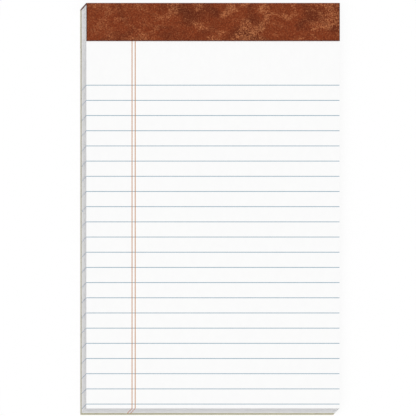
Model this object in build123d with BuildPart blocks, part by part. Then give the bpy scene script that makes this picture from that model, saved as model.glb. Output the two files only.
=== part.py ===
from build123d import *
import os

# Junior legal pad: ruled sheets on a chipboard back, wire stitched and taped at the head.
# It lies on its back, first sheet up: X across the sheets, Y from foot to head, Z up.
# The origin is the middle of its footprint, on the surface it lies on. Sizes are in millimetres.

# Sheets
sheet_width = 127.0
sheet_length = 203.2
sheet_count = 50
sheet_thickness = 0.088
leaf_gap = 0.02  # open slit between the edges of two neighbouring sheets
leaf_gap_depth = 0.25  # how far the slit reaches in before the sheets press together

# Backing board, cut with the sheets
board_thickness = 1.27

# Binding tape, folded over the head
tape_thickness = 0.3
tape_front = 19.2  # from the outside of the head to the lower edge of the band
tape_back = 19.2  # the same for the flap on the back
tape_sink = 0.1  # how deep the flap is pressed into the soft board
fold_radius = 0.25  # inside of both folds, and the edges that they are folded over

# Wire stitches, two in a row along the head
wire_thickness = 0.45  # in the plane of the bends
wire_width = 0.6
wire_bend_radius = 0.6  # on the wire's centre line
wire_clearance = 0.03
stitch_crown = 12.7  # between the centre lines of the two legs
stitch_spacing = 63.5  # between the middles of the two stitches
stitch_from_head = 8.0  # from the cut head of the sheets
clinch_length = 4.0  # end of a leg that is bent flat on the back

# Levels from the surface up, and places from foot to head
board_bottom = tape_thickness - tape_sink
board_top = board_bottom + board_thickness
sheets_top = board_top + sheet_count * sheet_thickness
crown_z = sheets_top - wire_clearance - wire_thickness / 2
clinch_z = tape_thickness + wire_clearance + wire_thickness / 2
head_outside_y = (sheet_length + tape_thickness) / 2
head_y = head_outside_y - tape_thickness
foot_y = head_y - sheet_length
sheet_middle_y = (head_y + foot_y) / 2
stitch_plane = Plane.XZ.offset(stitch_from_head - head_y)

os.makedirs("parts", exist_ok=True)


# One stitch seen from the foot: crown on the stub, legs through pad and board, ends clinched inwards
stitch_corners = [
    (clinch_length - stitch_crown / 2, clinch_z),
    (-stitch_crown / 2, clinch_z),
    (-stitch_crown / 2, crown_z),
    (stitch_crown / 2, crown_z),
    (stitch_crown / 2, clinch_z),
    (stitch_crown / 2 - clinch_length, clinch_z),
]

with BuildPart() as stitch:
    with BuildSketch(stitch_plane):
        with BuildLine():
            FilletPolyline(*stitch_corners, radius=wire_bend_radius)
        trace(line_width=wire_thickness)
    extrude(amount=wire_width / 2, both=True)

with BuildPart() as wire_stitches:
    with GridLocations(stitch_spacing, stitch_spacing, 2, 1):
        add(stitch.part)


# The room one stitch presses for itself, open to the tape above its crown and below its ends
room_thickness = wire_thickness + 2 * wire_clearance
room_width = wire_width + 2 * wire_clearance
clinch_room_length = clinch_length + room_thickness / 2 + wire_clearance
clinch_room_x = (stitch_crown + room_thickness - clinch_room_length) / 2

with BuildPart() as stitch_room:
    with BuildSketch(stitch_plane):
        with BuildLine():
            FilletPolyline(*stitch_corners, radius=wire_bend_radius)
        trace(line_width=room_thickness)
        with Locations((0, sheets_top)):
            Rectangle(
                stitch_crown + room_thickness,
                room_thickness,
                align=(Align.CENTER, Align.MAX),
            )
        with Locations((-clinch_room_x, tape_thickness), (clinch_room_x, tape_thickness)):
            Rectangle(
                clinch_room_length,
                room_thickness,
                align=(Align.CENTER, Align.MIN),
            )
    extrude(amount=room_width / 2, both=True)


# The slit between two sheets, open at both sides and the foot and bound at the head
with BuildPart() as leaf_slit:
    with BuildSketch():
        with Locations((0, head_y)):
            Rectangle(sheet_width, sheet_length, align=(Align.CENTER, Align.MAX))
            Rectangle(
                sheet_width - 2 * leaf_gap_depth,
                sheet_length - leaf_gap_depth,
                align=(Align.CENTER, Align.MAX),
                mode=Mode.SUBTRACT,
            )
    extrude(amount=leaf_gap / 2, both=True)

slit_levels = [board_top + sheet * sheet_thickness for sheet in range(1, sheet_count)]


# Sheets, pressed together into one block, with the head's upper edge rounded by the fold of the tape
with BuildPart() as page_block:
    with BuildSketch(Plane.XY.offset(board_top)):
        with Locations((0, sheet_middle_y)):
            Rectangle(sheet_width, sheet_length)
    extrude(amount=sheets_top - board_top)
    upper_edges = page_block.edges().filter_by(Axis.X).group_by(Axis.Z)[-1]
    fillet(upper_edges.sort_by(Axis.Y)[-1], radius=fold_radius)
    with Locations([(0, 0, level) for level in slit_levels]):
        add(leaf_slit.part, mode=Mode.SUBTRACT)
    with GridLocations(stitch_spacing, stitch_spacing, 2, 1):
        add(stitch_room.part, mode=Mode.SUBTRACT)


# Chipboard, with a shallow rebate where the flap of the tape is pressed in
with BuildPart() as backing_board:
    with BuildSketch(Plane.XY.offset(board_bottom)):
        with Locations((0, sheet_middle_y)):
            Rectangle(sheet_width, sheet_length)
    extrude(amount=board_thickness)
    with BuildSketch(Plane.XY.offset(board_bottom)):
        with Locations((0, head_y)):
            Rectangle(
                sheet_width,
                tape_back - tape_thickness,
                align=(Align.CENTER, Align.MAX),
            )
    extrude(amount=tape_sink, mode=Mode.SUBTRACT)
    head_edges = backing_board.edges().filter_by(Axis.X).group_by(Axis.Y)[-1]
    fillet(head_edges.sort_by(Axis.Z)[0], radius=fold_radius)
    with GridLocations(stitch_spacing, stitch_spacing, 2, 1):
        add(stitch_room.part, mode=Mode.SUBTRACT)


# Tape, seen from the side: band on the first sheet, fold, head, fold, flap on the board
with BuildPart() as binding_tape:
    with BuildSketch(Plane.YZ):
        with BuildLine():
            FilletPolyline(
                (head_outside_y - tape_front, sheets_top),
                (head_y, sheets_top),
                (head_y, tape_thickness),
                (head_outside_y - tape_back, tape_thickness),
                radius=fold_radius,
            )
            offset(amount=tape_thickness, side=Side.LEFT)
        make_face()
    extrude(amount=sheet_width / 2, both=True)


page_block.part.label = "page_block"
backing_board.part.label = "backing_board"
binding_tape.part.label = "binding_tape"
wire_stitches.part.label = "wire_stitches"

export_step(page_block.part, "parts/page_block.step")
export_step(backing_board.part, "parts/backing_board.step")
export_step(binding_tape.part, "parts/binding_tape.step")
export_step(wire_stitches.part, "parts/wire_stitches.step")
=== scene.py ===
import math
import random

import bmesh
import bpy
from mathutils import Matrix, Vector


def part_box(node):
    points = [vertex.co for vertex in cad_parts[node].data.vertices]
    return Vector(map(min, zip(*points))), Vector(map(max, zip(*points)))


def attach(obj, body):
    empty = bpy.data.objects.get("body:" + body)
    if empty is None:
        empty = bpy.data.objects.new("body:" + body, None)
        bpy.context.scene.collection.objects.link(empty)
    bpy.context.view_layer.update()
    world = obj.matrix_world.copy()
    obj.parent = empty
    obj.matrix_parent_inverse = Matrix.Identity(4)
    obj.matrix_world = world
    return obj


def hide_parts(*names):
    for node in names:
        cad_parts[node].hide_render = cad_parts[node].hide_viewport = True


# The pad as packed, in metres: it lies on the floor with its first sheet up and its head along +Y
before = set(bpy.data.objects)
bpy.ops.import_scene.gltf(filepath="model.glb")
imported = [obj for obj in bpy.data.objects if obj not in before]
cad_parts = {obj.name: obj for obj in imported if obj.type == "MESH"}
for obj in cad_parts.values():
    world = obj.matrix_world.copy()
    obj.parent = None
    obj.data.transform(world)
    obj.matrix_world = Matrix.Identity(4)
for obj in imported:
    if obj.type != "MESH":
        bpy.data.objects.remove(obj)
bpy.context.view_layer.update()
millimetre = 0.001


# Backing board
# A stiff sheet of grey chipboard, pressed in plies from recycled fibre and cut in one stroke with the sheets.
# Its pressed face is on the back. The cut plies are open to view at the edges, darker across the fibres than
# along them, and at the head they have soaked up some of the tape's glue.
face_shadow = (0.380, 0.355, 0.285)
face_light = (0.540, 0.505, 0.415)
side_shadow = (0.300, 0.280, 0.210)
side_light = (0.540, 0.510, 0.410)
end_shadow = (0.260, 0.240, 0.130)
end_light = (0.480, 0.450, 0.270)
board_fleck = (0.160, 0.140, 0.095)
fleck_strength = 0.7
board_roughness = (0.84, 1.00)
board_relief = 0.04 * millimetre
glue_stain = (0.110, 0.024, 0.006)
glue_solid_share = 0.6  # of its reach, before the stain fades out
glue_wander_share = 0.7  # of its reach, to either side
board_glue_reach = 0.4 * millimetre
face_depth = 0.01 * millimetre  # what lies this close to a face counts as part of it
board_low, board_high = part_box("backing_board")


class Field:
    """A value or colour that varies over a surface, held by an output socket of a shader node."""

    def __init__(self, socket):
        self.socket = socket

    def node(self, kind, settings, sockets, output=0):
        """Add a node to the same material: its settings first, then a value or a link for each socket."""
        tree = self.socket.id_data
        made = tree.nodes.new("ShaderNode" + kind)
        stops = settings.pop("stops", ())
        for name, value in settings.items():
            setattr(made, name, value)
        for number, (position, colour) in enumerate(stops):
            elements = made.color_ramp.elements
            element = elements[number] if number < 2 else elements.new(position)
            element.position = position
            element.color = (*colour, 1.0)
        for key, value in sockets.items():
            socket = made.inputs[key]
            if isinstance(value, Field):
                tree.links.new(value.socket, socket)
            elif socket.type == "RGBA":
                socket.default_value = (*value, 1.0)
            else:
                socket.default_value = value
        return Field(made.outputs[output])

    def feed(self, socket):
        """Link the field to a socket of a shader."""
        self.socket.id_data.links.new(self.socket, socket)

    def __add__(self, other):
        return self.node("Math", {"operation": "ADD"}, {0: self, 1: other})

    __radd__ = __add__

    def __mul__(self, other):
        return self.node("Math", {"operation": "MULTIPLY"}, {0: self, 1: other})

    __rmul__ = __mul__

    def __sub__(self, other):
        return self.node("Math", {"operation": "SUBTRACT"}, {0: self, 1: other})

    def __rsub__(self, other):
        return self.node("Math", {"operation": "SUBTRACT"}, {0: other, 1: self})

    def __truediv__(self, other):
        return self.node("Math", {"operation": "DIVIDE"}, {0: self, 1: other})

    def __rtruediv__(self, other):
        return self.node("Math", {"operation": "DIVIDE"}, {0: other, 1: self})

    def __lt__(self, other):
        return self.node("Math", {"operation": "LESS_THAN"}, {0: self, 1: other})

    def __gt__(self, other):
        return self.node("Math", {"operation": "GREATER_THAN"}, {0: self, 1: other})

    def __abs__(self):
        return self.node("Math", {"operation": "ABSOLUTE"}, {0: self})


def new_finish(name, specular, roughness=0.5):
    """Start a material: returns it, its shader, and the place on the piece in the pad's own frame."""
    material = bpy.data.materials.new(name)
    material.use_nodes = True
    shader = material.node_tree.nodes["Principled BSDF"]
    shader.inputs["Roughness"].default_value = roughness
    shader.inputs["Specular IOR Level"].default_value = specular
    coordinates = material.node_tree.nodes.new("ShaderNodeTexCoord")
    return material, shader, Field(coordinates.outputs["Object"])


def noise(place, size, detail=2.0, roughness=0.5, distortion=0.0, shift=(0.0, 0.0, 0.0)):
    """Cloudy value from 0 to 1, in patches of this many millimetres along X, Y and Z."""
    scale = [1 / (length * millimetre) for length in size]
    patches = place.node("Mapping", {}, {"Vector": place, "Scale": scale, "Location": shift})
    sockets = {
        "Vector": patches,
        "Scale": 1.0,
        "Detail": detail,
        "Roughness": roughness,
        "Distortion": distortion,
    }
    return place.node("TexNoise", {}, sockets)


def between(value, low, high):
    """Value that goes from low to high as the given one goes from 0 to 1."""
    return value * (high - low) + low


def fade(value, start, end):
    """Smooth mask that goes from 0 to 1 as the value goes from start to end."""
    sockets = {"Value": value, "From Min": start, "From Max": end}
    return value.node("MapRange", {"interpolation_type": "SMOOTHSTEP"}, sockets)


def ramp(value, *stops):
    """Colour that passes through these stops as the value grows."""
    return value.node("ValToRGB", {"stops": stops}, {"Fac": value})


def mix(mask, low, high):
    """Colour low where the mask is 0 and high where it is 1."""
    return mask.node("Mix", {"data_type": "RGBA"}, {0: mask, 6: low, 7: high}, output=2)


def axis(place, name):
    """One coordinate of a place, in metres."""
    return place.node("SeparateXYZ", {}, {"Vector": place}, output="XYZ".index(name))


def soaked(place, head, reach):
    """Mask of the glue that has soaked in from the head, in some places further than in others."""
    uneven = noise(place, (3.0, 3.0, 0.16))
    wander = between(uneven, -glue_wander_share * reach, glue_wander_share * reach)
    return fade(head - axis(place, "Y") + wander, reach, glue_solid_share * reach)


def emboss(relief, depth, shader):
    """Give the shader a relief that is this deep where it goes from 0 to 1."""
    sockets = {"Height": relief, "Distance": depth, "Strength": 1.0}
    relief.node("Bump", {}, sockets).feed(shader.inputs["Normal"])


chipboard, shader, place = new_finish("chipboard", specular=0.2)
plies = noise(place, (60.0, 60.0, 0.22), detail=3.0, shift=(0.0, 0.0, 1.7))
fibres = noise(place, (0.5, 2.4, 0.4), detail=4.0, roughness=0.6, distortion=0.8)
flecks = fade(noise(place, (1.1, 0.8, 0.6), detail=1.0, shift=(3.0, 7.0, 1.0)), 0.66, 0.73)
cut_grain = plies * 0.5 + fibres * 0.5
side_tone = ramp(cut_grain, (0.34, side_shadow), (0.66, side_light))
end_tone = ramp(cut_grain, (0.34, end_shadow), (0.66, end_light))
face_tone = ramp(fibres, (0.3, face_shadow), (0.7, face_light))
on_side = abs(axis(place, "X")) > board_high.x - face_depth
on_face = axis(place, "Z") < board_low.z + face_depth
board_tone = mix(on_face, mix(on_side, end_tone, side_tone), face_tone)
board_tone = mix(flecks * fleck_strength, board_tone, board_fleck)
board_tone = mix(soaked(place, board_high.y, board_glue_reach), board_tone, glue_stain)
board_tone.feed(shader.inputs["Base Color"])
between(fibres, *board_roughness).feed(shader.inputs["Roughness"])
emboss(fibres * 0.6 + plies * 0.4, board_relief, shader)
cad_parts["backing_board"].material_slots[0].material = chipboard


# Sheet stack
# Forty-nine sheets of white writing paper under the first, jogged into a block and trimmed with the board.
# No two edges lie quite flush, and the upper sheets lie a little looser. Each sheet's ruling runs out to the
# cut and shows there as a mark, and the tape's glue has soaked in at the head.
# Painted shade: the cut edges are painted grey for the gaps between the sheets, and painted lighter towards
# the board.
sheets_low, sheets_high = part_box("page_block")
tape_low, tape_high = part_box("binding_tape")
sheet_count = 50
sheet_pitch = (sheets_high.z - sheets_low.z) / sheet_count
sheet_gap = 0.014 * millimetre
gap_at_board = 0.4  # share of that gap between the lowest sheets
gap_growth = 0.9  # share that it gains up to the first sheet
gap_spread = (0.6, 1.4)
gap_depth = 0.03 * millimetre
most_out_of_line = 0.015 * millimetre
head_clearance = 0.03 * millimetre
rule_count = 22
rule_width = 0.35 * millimetre
rule_pitch = 7.618 * millimetre
first_rule_y = tape_high.y - 41.336 * millimetre
margin_width = 0.42 * millimetre
margin_places = [sheets_low.x + inset * millimetre for inset in (22.92, 24.5)]
# Painted shade: the two tones of the cut edges are darker than the paper, as shade for the gaps between the
# sheets.
edge_dark_painted_shade = (0.645, 0.645, 0.655)
edge_pale_painted_shade = (0.766, 0.764, 0.766)
rule_mark = (0.250, 0.322, 0.425)
margin_mark = (0.520, 0.162, 0.060)
mark_drift = 0.1 * millimetre  # to either side, from sheet to sheet
sheet_glue_reach = 0.85 * millimetre
trimming = random.Random(11)


def trimmed_outline():
    """Left, right, foot and head of one sheet, each a little inside the block's own."""
    left, right, foot, head = (trimming.uniform(0, most_out_of_line) for _ in range(4))
    return (
        sheets_low.x + left,
        sheets_high.x - right,
        sheets_low.y + foot,
        sheets_high.y - head_clearance - head,
    )


def open_gap(outline):
    """The outline that the sheets keep where the gap between two of them ends."""
    left, right, foot, head = outline
    return left + gap_depth, right - gap_depth, foot + gap_depth, head - gap_depth


def set_corners(corners, outline, level):
    """Move the four corners of a level rectangle to an outline at this height."""
    left, right, foot, head = outline
    for corner in corners:
        corner.co.x = right if corner.co.x > 0 else left
        corner.co.y = head if corner.co.y > 0 else foot
        corner.co.z = level


def raise_top(mesh, top, outline, level):
    """Extrude the block's top face to an outline at this height, and return the new top face."""
    grown = bmesh.ops.extrude_face_region(mesh, geom=[top])["geom"]
    set_corners([part for part in grown if isinstance(part, bmesh.types.BMVert)], outline, level)
    return next(part for part in grown if isinstance(part, bmesh.types.BMFace))


def lay_out_sides(mesh):
    """Colour map with a strip for each side and one for the top, so tall that every sheet has its own row."""
    layer = mesh.loops.layers.uv.new("OFBake")
    size = sheets_high - sheets_low
    strip_height = 0.2
    strip_margin = 0.01
    side_share = 0.4  # of the size: a face further than this from the middle is on a side
    top_strip = 4
    for face in mesh.faces:
        centre = face.calc_center_median()
        on_long_side = abs(centre.x) > side_share * size.x
        on_short_side = abs(centre.y) > side_share * size.y
        if on_long_side:
            strip = 0 if centre.x < 0 else 1
        elif on_short_side:
            strip = 2 if centre.y < 0 else 3
        else:
            strip = top_strip
        for loop in face.loops:
            across, along, height = ((loop.vert.co[i] - sheets_low[i]) / size[i] for i in range(3))
            u = across if on_short_side and not on_long_side else along
            v = across if strip == top_strip else height
            loop[layer].uv = (
                strip_margin + u * (1 - 2 * strip_margin),
                strip * strip_height + strip_margin + v * (strip_height - 2 * strip_margin),
            )


def add_piece(name, mesh, material):
    """Make a finished bmesh a piece of the pad with one material, riding on its only body."""
    bmesh.ops.recalc_face_normals(mesh, faces=mesh.faces)
    data = bpy.data.meshes.new(name)
    mesh.to_mesh(data)
    mesh.free()
    data.materials.append(material)
    piece = bpy.data.objects.new(name, data)
    bpy.context.scene.collection.objects.link(piece)
    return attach(piece, "root")


def cut_edge(place):
    """Colour of the sheets' cut edges: paper with painted shade and light, the ruling's ends, and the head's
    glue.
    """
    streaks = noise(place, (70.0, 70.0, 0.17))
    smears = noise(place, (9.0, 9.0, 1.6), detail=3.0, roughness=0.6)
    # Painted light: the edges are painted lighter with depth down the stack, towards the board and the floor.
    depth = (sheets_high.z - axis(place, "Z")) / (sheets_high.z - sheets_low.z)
    tone = ramp(streaks * 0.5 + smears * 0.2 + depth * 0.3, (0.25, edge_dark_painted_shade), (0.75, edge_pale_painted_shade))
    drift = between(noise(place, (400.0, 400.0, 0.11), detail=0.0), -mark_drift, mark_drift)
    rows = (first_rule_y - axis(place, "Y") + drift) / rule_pitch
    from_rule = rows.node("Math", {"operation": "PINGPONG"}, {0: rows, 1: 0.5})
    on_rule = (from_rule < rule_width / rule_pitch / 2) * (rows > -0.5)
    x = axis(place, "X") + drift
    on_margin = sum(abs(x - line) < margin_width / 2 for line in margin_places)
    tone = mix(on_margin, mix(on_rule, tone, rule_mark), margin_mark)
    return mix(soaked(place, sheets_high.y, sheet_glue_reach), tone, glue_stain)


stack = bmesh.new()
corners = bmesh.ops.create_grid(stack, x_segments=1, y_segments=1, size=1.0)["verts"]
set_corners(corners, open_gap(trimmed_outline()), sheets_low.z)
top = stack.faces[:][0]
for sheet in range(sheet_count - 1):
    below = sheets_low.z + sheet * sheet_pitch
    above = below + sheet_pitch
    looseness = gap_at_board + gap_growth * sheet / sheet_count
    gap = sheet_gap * looseness * trimming.uniform(*gap_spread)
    outline = trimmed_outline()
    top = raise_top(stack, top, outline, below)
    top = raise_top(stack, top, outline, above - gap)
    top = raise_top(stack, top, open_gap(outline), above - gap)
    top = raise_top(stack, top, open_gap(outline), above)
lay_out_sides(stack)

painted_shade_edges, shader, place = new_finish("cut paper edges with painted shade", specular=0.15, roughness=0.9)
cut_edge(place).feed(shader.inputs["Base Color"])

sheet_stack = add_piece("sheet_stack", stack, painted_shade_edges)
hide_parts("page_block")


# First sheet
# The top sheet of the same uncoated writing paper, pressed flat, with its head end bound under the tape.
# It is smooth and white, and only a close look shows the cloudy set of its fibres.
paper_white = (0.942, 0.942, 0.940)
paper_cloud = (0.930, 0.930, 0.929)
paper_roughness = (0.82, 0.94)
paper_relief = 0.006 * millimetre


def add_slab(mesh, low, high):
    """Add a closed flat slab between two opposite corners."""
    size = Vector(high) - Vector(low)
    middle = (Vector(high) + Vector(low)) / 2
    placed = Matrix.Translation(middle) @ Matrix.Diagonal((*size, 1.0))
    bmesh.ops.create_cube(mesh, size=1.0, matrix=placed)


writing_paper, shader, place = new_finish("writing paper", specular=0.15)
clouds = noise(place, (3.2, 4.5, 4.0), detail=3.0, roughness=0.55)
tooth = noise(place, (0.35, 0.5, 0.4), detail=3.0, roughness=0.6)
paper_tone = ramp(clouds, (0.3, paper_cloud), (0.7, paper_white))
# Its cut edge takes the stack's edge colour, with the same painted shade and light.
on_cut = axis(place, "Z") < sheets_high.z - face_depth
mix(on_cut, paper_tone, cut_edge(place)).feed(shader.inputs["Base Color"])
between(tooth, *paper_roughness).feed(shader.inputs["Roughness"])
emboss(tooth * 0.7 + clouds * 0.3, paper_relief, shader)

page = bmesh.new()
page_bottom = sheets_high.z - sheet_pitch
page_head = sheets_high.y - head_clearance - gap_depth
add_slab(page, (sheets_low.x, sheets_low.y, page_bottom), (sheets_high.x, page_head, sheets_high.z))
first_sheet = add_piece("first_sheet", page, writing_paper)
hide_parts("page_block")


# Ruling
# Pale blue writing rules from edge to edge and a pair of brownish red margin lines from the tape to the foot.
# They are printed on the first sheet with thin ink, a little uneven where the paper's tooth takes less.
rule_ink = (0.213, 0.345, 0.431)
rule_ink_thin = (0.273, 0.400, 0.486)
margin_ink = (0.525, 0.232, 0.072)
margin_ink_thin = (0.580, 0.285, 0.118)
ink_depth = 0.02 * millimetre
ink_inset = 0.01 * millimetre
rule_ink_height = 0.004 * millimetre
margin_ink_height = 0.007 * millimetre


def new_ink(name, full, thin):
    """Ink that thins in small patches."""
    ink, shader, place = new_finish(name, specular=0.15, roughness=0.8)
    cover = noise(place, (0.9, 0.9, 0.9), detail=3.0, roughness=0.6)
    ramp(cover, (0.35, thin), (0.6, full)).feed(shader.inputs["Base Color"])
    return ink


rules = bmesh.new()
for row in range(rule_count):
    rule_y = first_rule_y - row * rule_pitch
    add_slab(
        rules,
        (sheets_low.x + ink_inset, rule_y - rule_width / 2, sheets_high.z - ink_depth),
        (sheets_high.x - ink_inset, rule_y + rule_width / 2, sheets_high.z + rule_ink_height),
    )
add_piece("writing_rules", rules, new_ink("blue ink", rule_ink, rule_ink_thin))

margins = bmesh.new()
for margin_x in margin_places:
    add_slab(
        margins,
        (margin_x - margin_width / 2, sheets_low.y + ink_inset, sheets_high.z - ink_depth),
        (margin_x + margin_width / 2, tape_low.y, sheets_high.z + margin_ink_height),
    )
add_piece("margin_lines", margins, new_ink("red ink", margin_ink, margin_ink_thin))


# Wire stitches
# Two flat steel wires driven through sheets and board near the head and clinched on the back.
# The tape hides them: they hold the pad together and keep the drawn wire's bright, finely scored face.
steel_bright = (0.660, 0.655, 0.640)
steel_dull = (0.520, 0.515, 0.505)
steel_roughness = (0.22, 0.42)

steel, shader, place = new_finish("drawn steel wire", specular=0.5)
shader.inputs["Metallic"].default_value = 1.0
scores = noise(place, (3.0, 0.06, 3.0))
ramp(scores, (0.35, steel_dull), (0.65, steel_bright)).feed(shader.inputs["Base Color"])
between(scores, *steel_roughness).feed(shader.inputs["Roughness"])
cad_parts["wire_stitches"].material_slots[0].material = steel


# Binding tape
# A strip of strong paper, printed and embossed like tanned leather, folded over the head and glued down.
# The print is a reddish brown with tan clouds and crackle. Cut edges and folds are burnished darker, the cut
# edges partly with painted shade, and the ends of the flap show the bare paper core.
tape_maroon = (0.098, 0.016, 0.005)
tape_brown = (0.196, 0.034, 0.009)
tape_tan = (0.510, 0.185, 0.074)
tape_burnish_and_painted_shade = (0.090, 0.018, 0.005)
tape_core = (0.520, 0.485, 0.390)
tape_roughness = (0.62, 0.42)
tape_relief = 0.1 * millimetre
tape_thickness = tape_high.z - sheets_high.z
clouds_thin_x = -45.0 * millimetre  # the clouds are thin up to here
clouds_full_x = 0.0
thin_clouds_share = 0.5
crackle_wear = 0.45
speck_wear = 0.85
stray_speck_wear = 0.34
pit_strength = 0.6
burnish_and_shade_width = 0.6 * millimetre
core_start = 0.3 * millimetre
core_end = 0.7 * millimetre


def lesser(one, other):
    """The lesser of two values at each place."""
    return one.node("Math", {"operation": "MINIMUM"}, {0: one, 1: other})


grained_tape, shader, place = new_finish("leather grained tape", specular=0.06)
ground = noise(place, (15.0, 11.0, 13.0), distortion=0.6, shift=(3.6, 1.8, 0.0))
haze = noise(place, (12.0, 9.0, 11.0), detail=3.0, distortion=1.2, shift=(4.3, 1.4, 0.0))
creases = noise(place, (3.4, 3.0, 3.2), detail=4.0, roughness=0.6, distortion=0.9)
flakes = noise(place, (0.55, 0.55, 0.55), roughness=0.7)
pits = noise(place, (0.8, 0.8, 0.8), roughness=0.7, shift=(9.0, 5.0, 2.0))
crackle = fade(abs(creases - 0.5), 0.09, 0.0)
specks = fade(flakes, 0.47, 0.66)
cloud_share = between(fade(axis(place, "X"), clouds_thin_x, clouds_full_x), thin_clouds_share, 1.0)
clouds = fade(haze, 0.47, 0.67) * cloud_share
worn = clouds * (crackle * crackle_wear + specks * speck_wear) + specks * stray_speck_wear
tape_colour = ramp(ground, (0.30, tape_maroon), (0.55, tape_brown))
tape_colour = mix(worn, tape_colour, tape_tan)
tape_colour = mix(fade(pits, 0.54, 0.36) * pit_strength, tape_colour, tape_maroon)

from_cut = axis(place, "Y") - tape_low.y
from_end = tape_high.x - abs(axis(place, "X"))
from_head = tape_high.y - axis(place, "Y")
from_face = tape_high.z / 2 - abs(axis(place, "Z") - tape_high.z / 2)
from_fold = from_head.node("Math", {"operation": "MAXIMUM"}, {0: from_head, 1: from_face})
from_edge = lesser(lesser(from_cut, from_end), from_fold)
# Burnish and painted shade: the tape darkens towards its cut edges and folds, at the cut edges partly as
# painted shade.
tape_colour = mix(fade(from_edge, burnish_and_shade_width, 0.0), tape_colour, tape_burnish_and_painted_shade)
on_flap_end = (from_end < face_depth) * (axis(place, "Z") < tape_low.z + tape_thickness)
tape_colour = mix(on_flap_end * fade(from_head, core_start, core_end), tape_colour, tape_core)
tape_colour.feed(shader.inputs["Base Color"])
between(creases, *tape_roughness).feed(shader.inputs["Roughness"])
emboss(flakes * 0.5 + pits * 0.3 + crackle * 0.2, tape_relief, shader)
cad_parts["binding_tape"].material_slots[0].material = grained_tape


# Floor
# A plain white sweep that the pad lies on, wide enough to fill every picture.
# It is seen as white, and keeps a soft part of the pad's shadow.
floor_white = (0.970, 0.970, 0.970)
floor_reach = 20.0
shadow_share = 0.20

sweep = bmesh.new()
bmesh.ops.create_grid(sweep, x_segments=1, y_segments=1, size=floor_reach)
floor_mesh = bpy.data.meshes.new("floor")
sweep.to_mesh(floor_mesh)
sweep.free()
floor = bpy.data.objects.new("floor", floor_mesh)
bpy.context.scene.collection.objects.link(floor)

floor_finish, shader, _ = new_finish("white sweep", specular=0.0, roughness=1.0)
shader.inputs["Base Color"].default_value = (*floor_white, 1.0)
tree = floor_finish.node_tree
rays = tree.nodes.new("ShaderNodeLightPath")
seen = sum(Field(rays.outputs[f"Is {kind} Ray"]) for kind in ("Camera", "Glossy", "Transmission"))
glow = seen.node("Emission", {}, {"Color": (1.0, 1.0, 1.0), "Strength": 1.0})
surface = seen.node("MixShader", {}, {0: seen * (1 - shadow_share), 1: Field(shader.outputs[0]), 2: glow})
surface.feed(tree.nodes["Material Output"].inputs["Surface"])
floor_mesh.materials.append(floor_finish)


# Light
# An even white dome lights the pad from all round.
# One broad lamp stands to the left of the foot and reaches those two sides.
dome_level = 0.643
lamp_level = 0.52
lamp_spread = math.radians(50)
lamp_place = Vector((-0.63, -0.61, 1.0))

dome = bpy.data.worlds.new("dome")
dome.use_nodes = True
dome.node_tree.nodes["Background"].inputs["Color"].default_value = (1.0, 1.0, 1.0, 1.0)
dome.node_tree.nodes["Background"].inputs["Strength"].default_value = dome_level
bpy.context.scene.world = dome

lamp_data = bpy.data.lights.new("lamp", "SUN")
lamp_data.energy = lamp_level * math.pi
lamp_data.angle = lamp_spread
lamp = bpy.data.objects.new("lamp", lamp_data)
lamp.rotation_mode = "QUATERNION"
lamp.rotation_quaternion = lamp_place.to_track_quat("Z", "Y")
bpy.context.scene.collection.objects.link(lamp)


# Camera
# The picture is an oblique one: the first sheet is seen square on, and the left side and the foot slant away
# from it. The camera stands to the left of the foot and looks along that slant, and its stand leans the
# picture plane back until it is level with the sheet.
slant_left = 0.540
slant_foot = 0.574
stand_height = 5.0
picture_width = 208.7 * millimetre
picture_middle = Vector((-2.47 * millimetre, tape_high.y - 102.946 * millimetre, sheets_high.z))
slant = Vector((-slant_left, -slant_foot, 1.0))
viewpoint = picture_middle + slant * stand_height
back = slant.normalized()

camera_data = bpy.data.cameras.new("camera")
camera_data.lens = camera_data.sensor_width * stand_height * slant.length / picture_width
camera = bpy.data.objects.new("camera", camera_data)
stand = bpy.data.objects.new("camera_stand", None)
bpy.context.scene.collection.objects.link(stand)
bpy.context.scene.collection.objects.link(camera)
camera.parent = stand
camera.matrix_parent_inverse = Matrix((
    (1.0, 0.0, back.x, viewpoint.x),
    (0.0, 1.0, back.y, viewpoint.y),
    (0.0, 0.0, back.z, viewpoint.z),
    (0.0, 0.0, 0.0, 1.0),
))
bpy.context.scene.camera = camera
bpy.context.scene.view_settings.view_transform = "Standard"
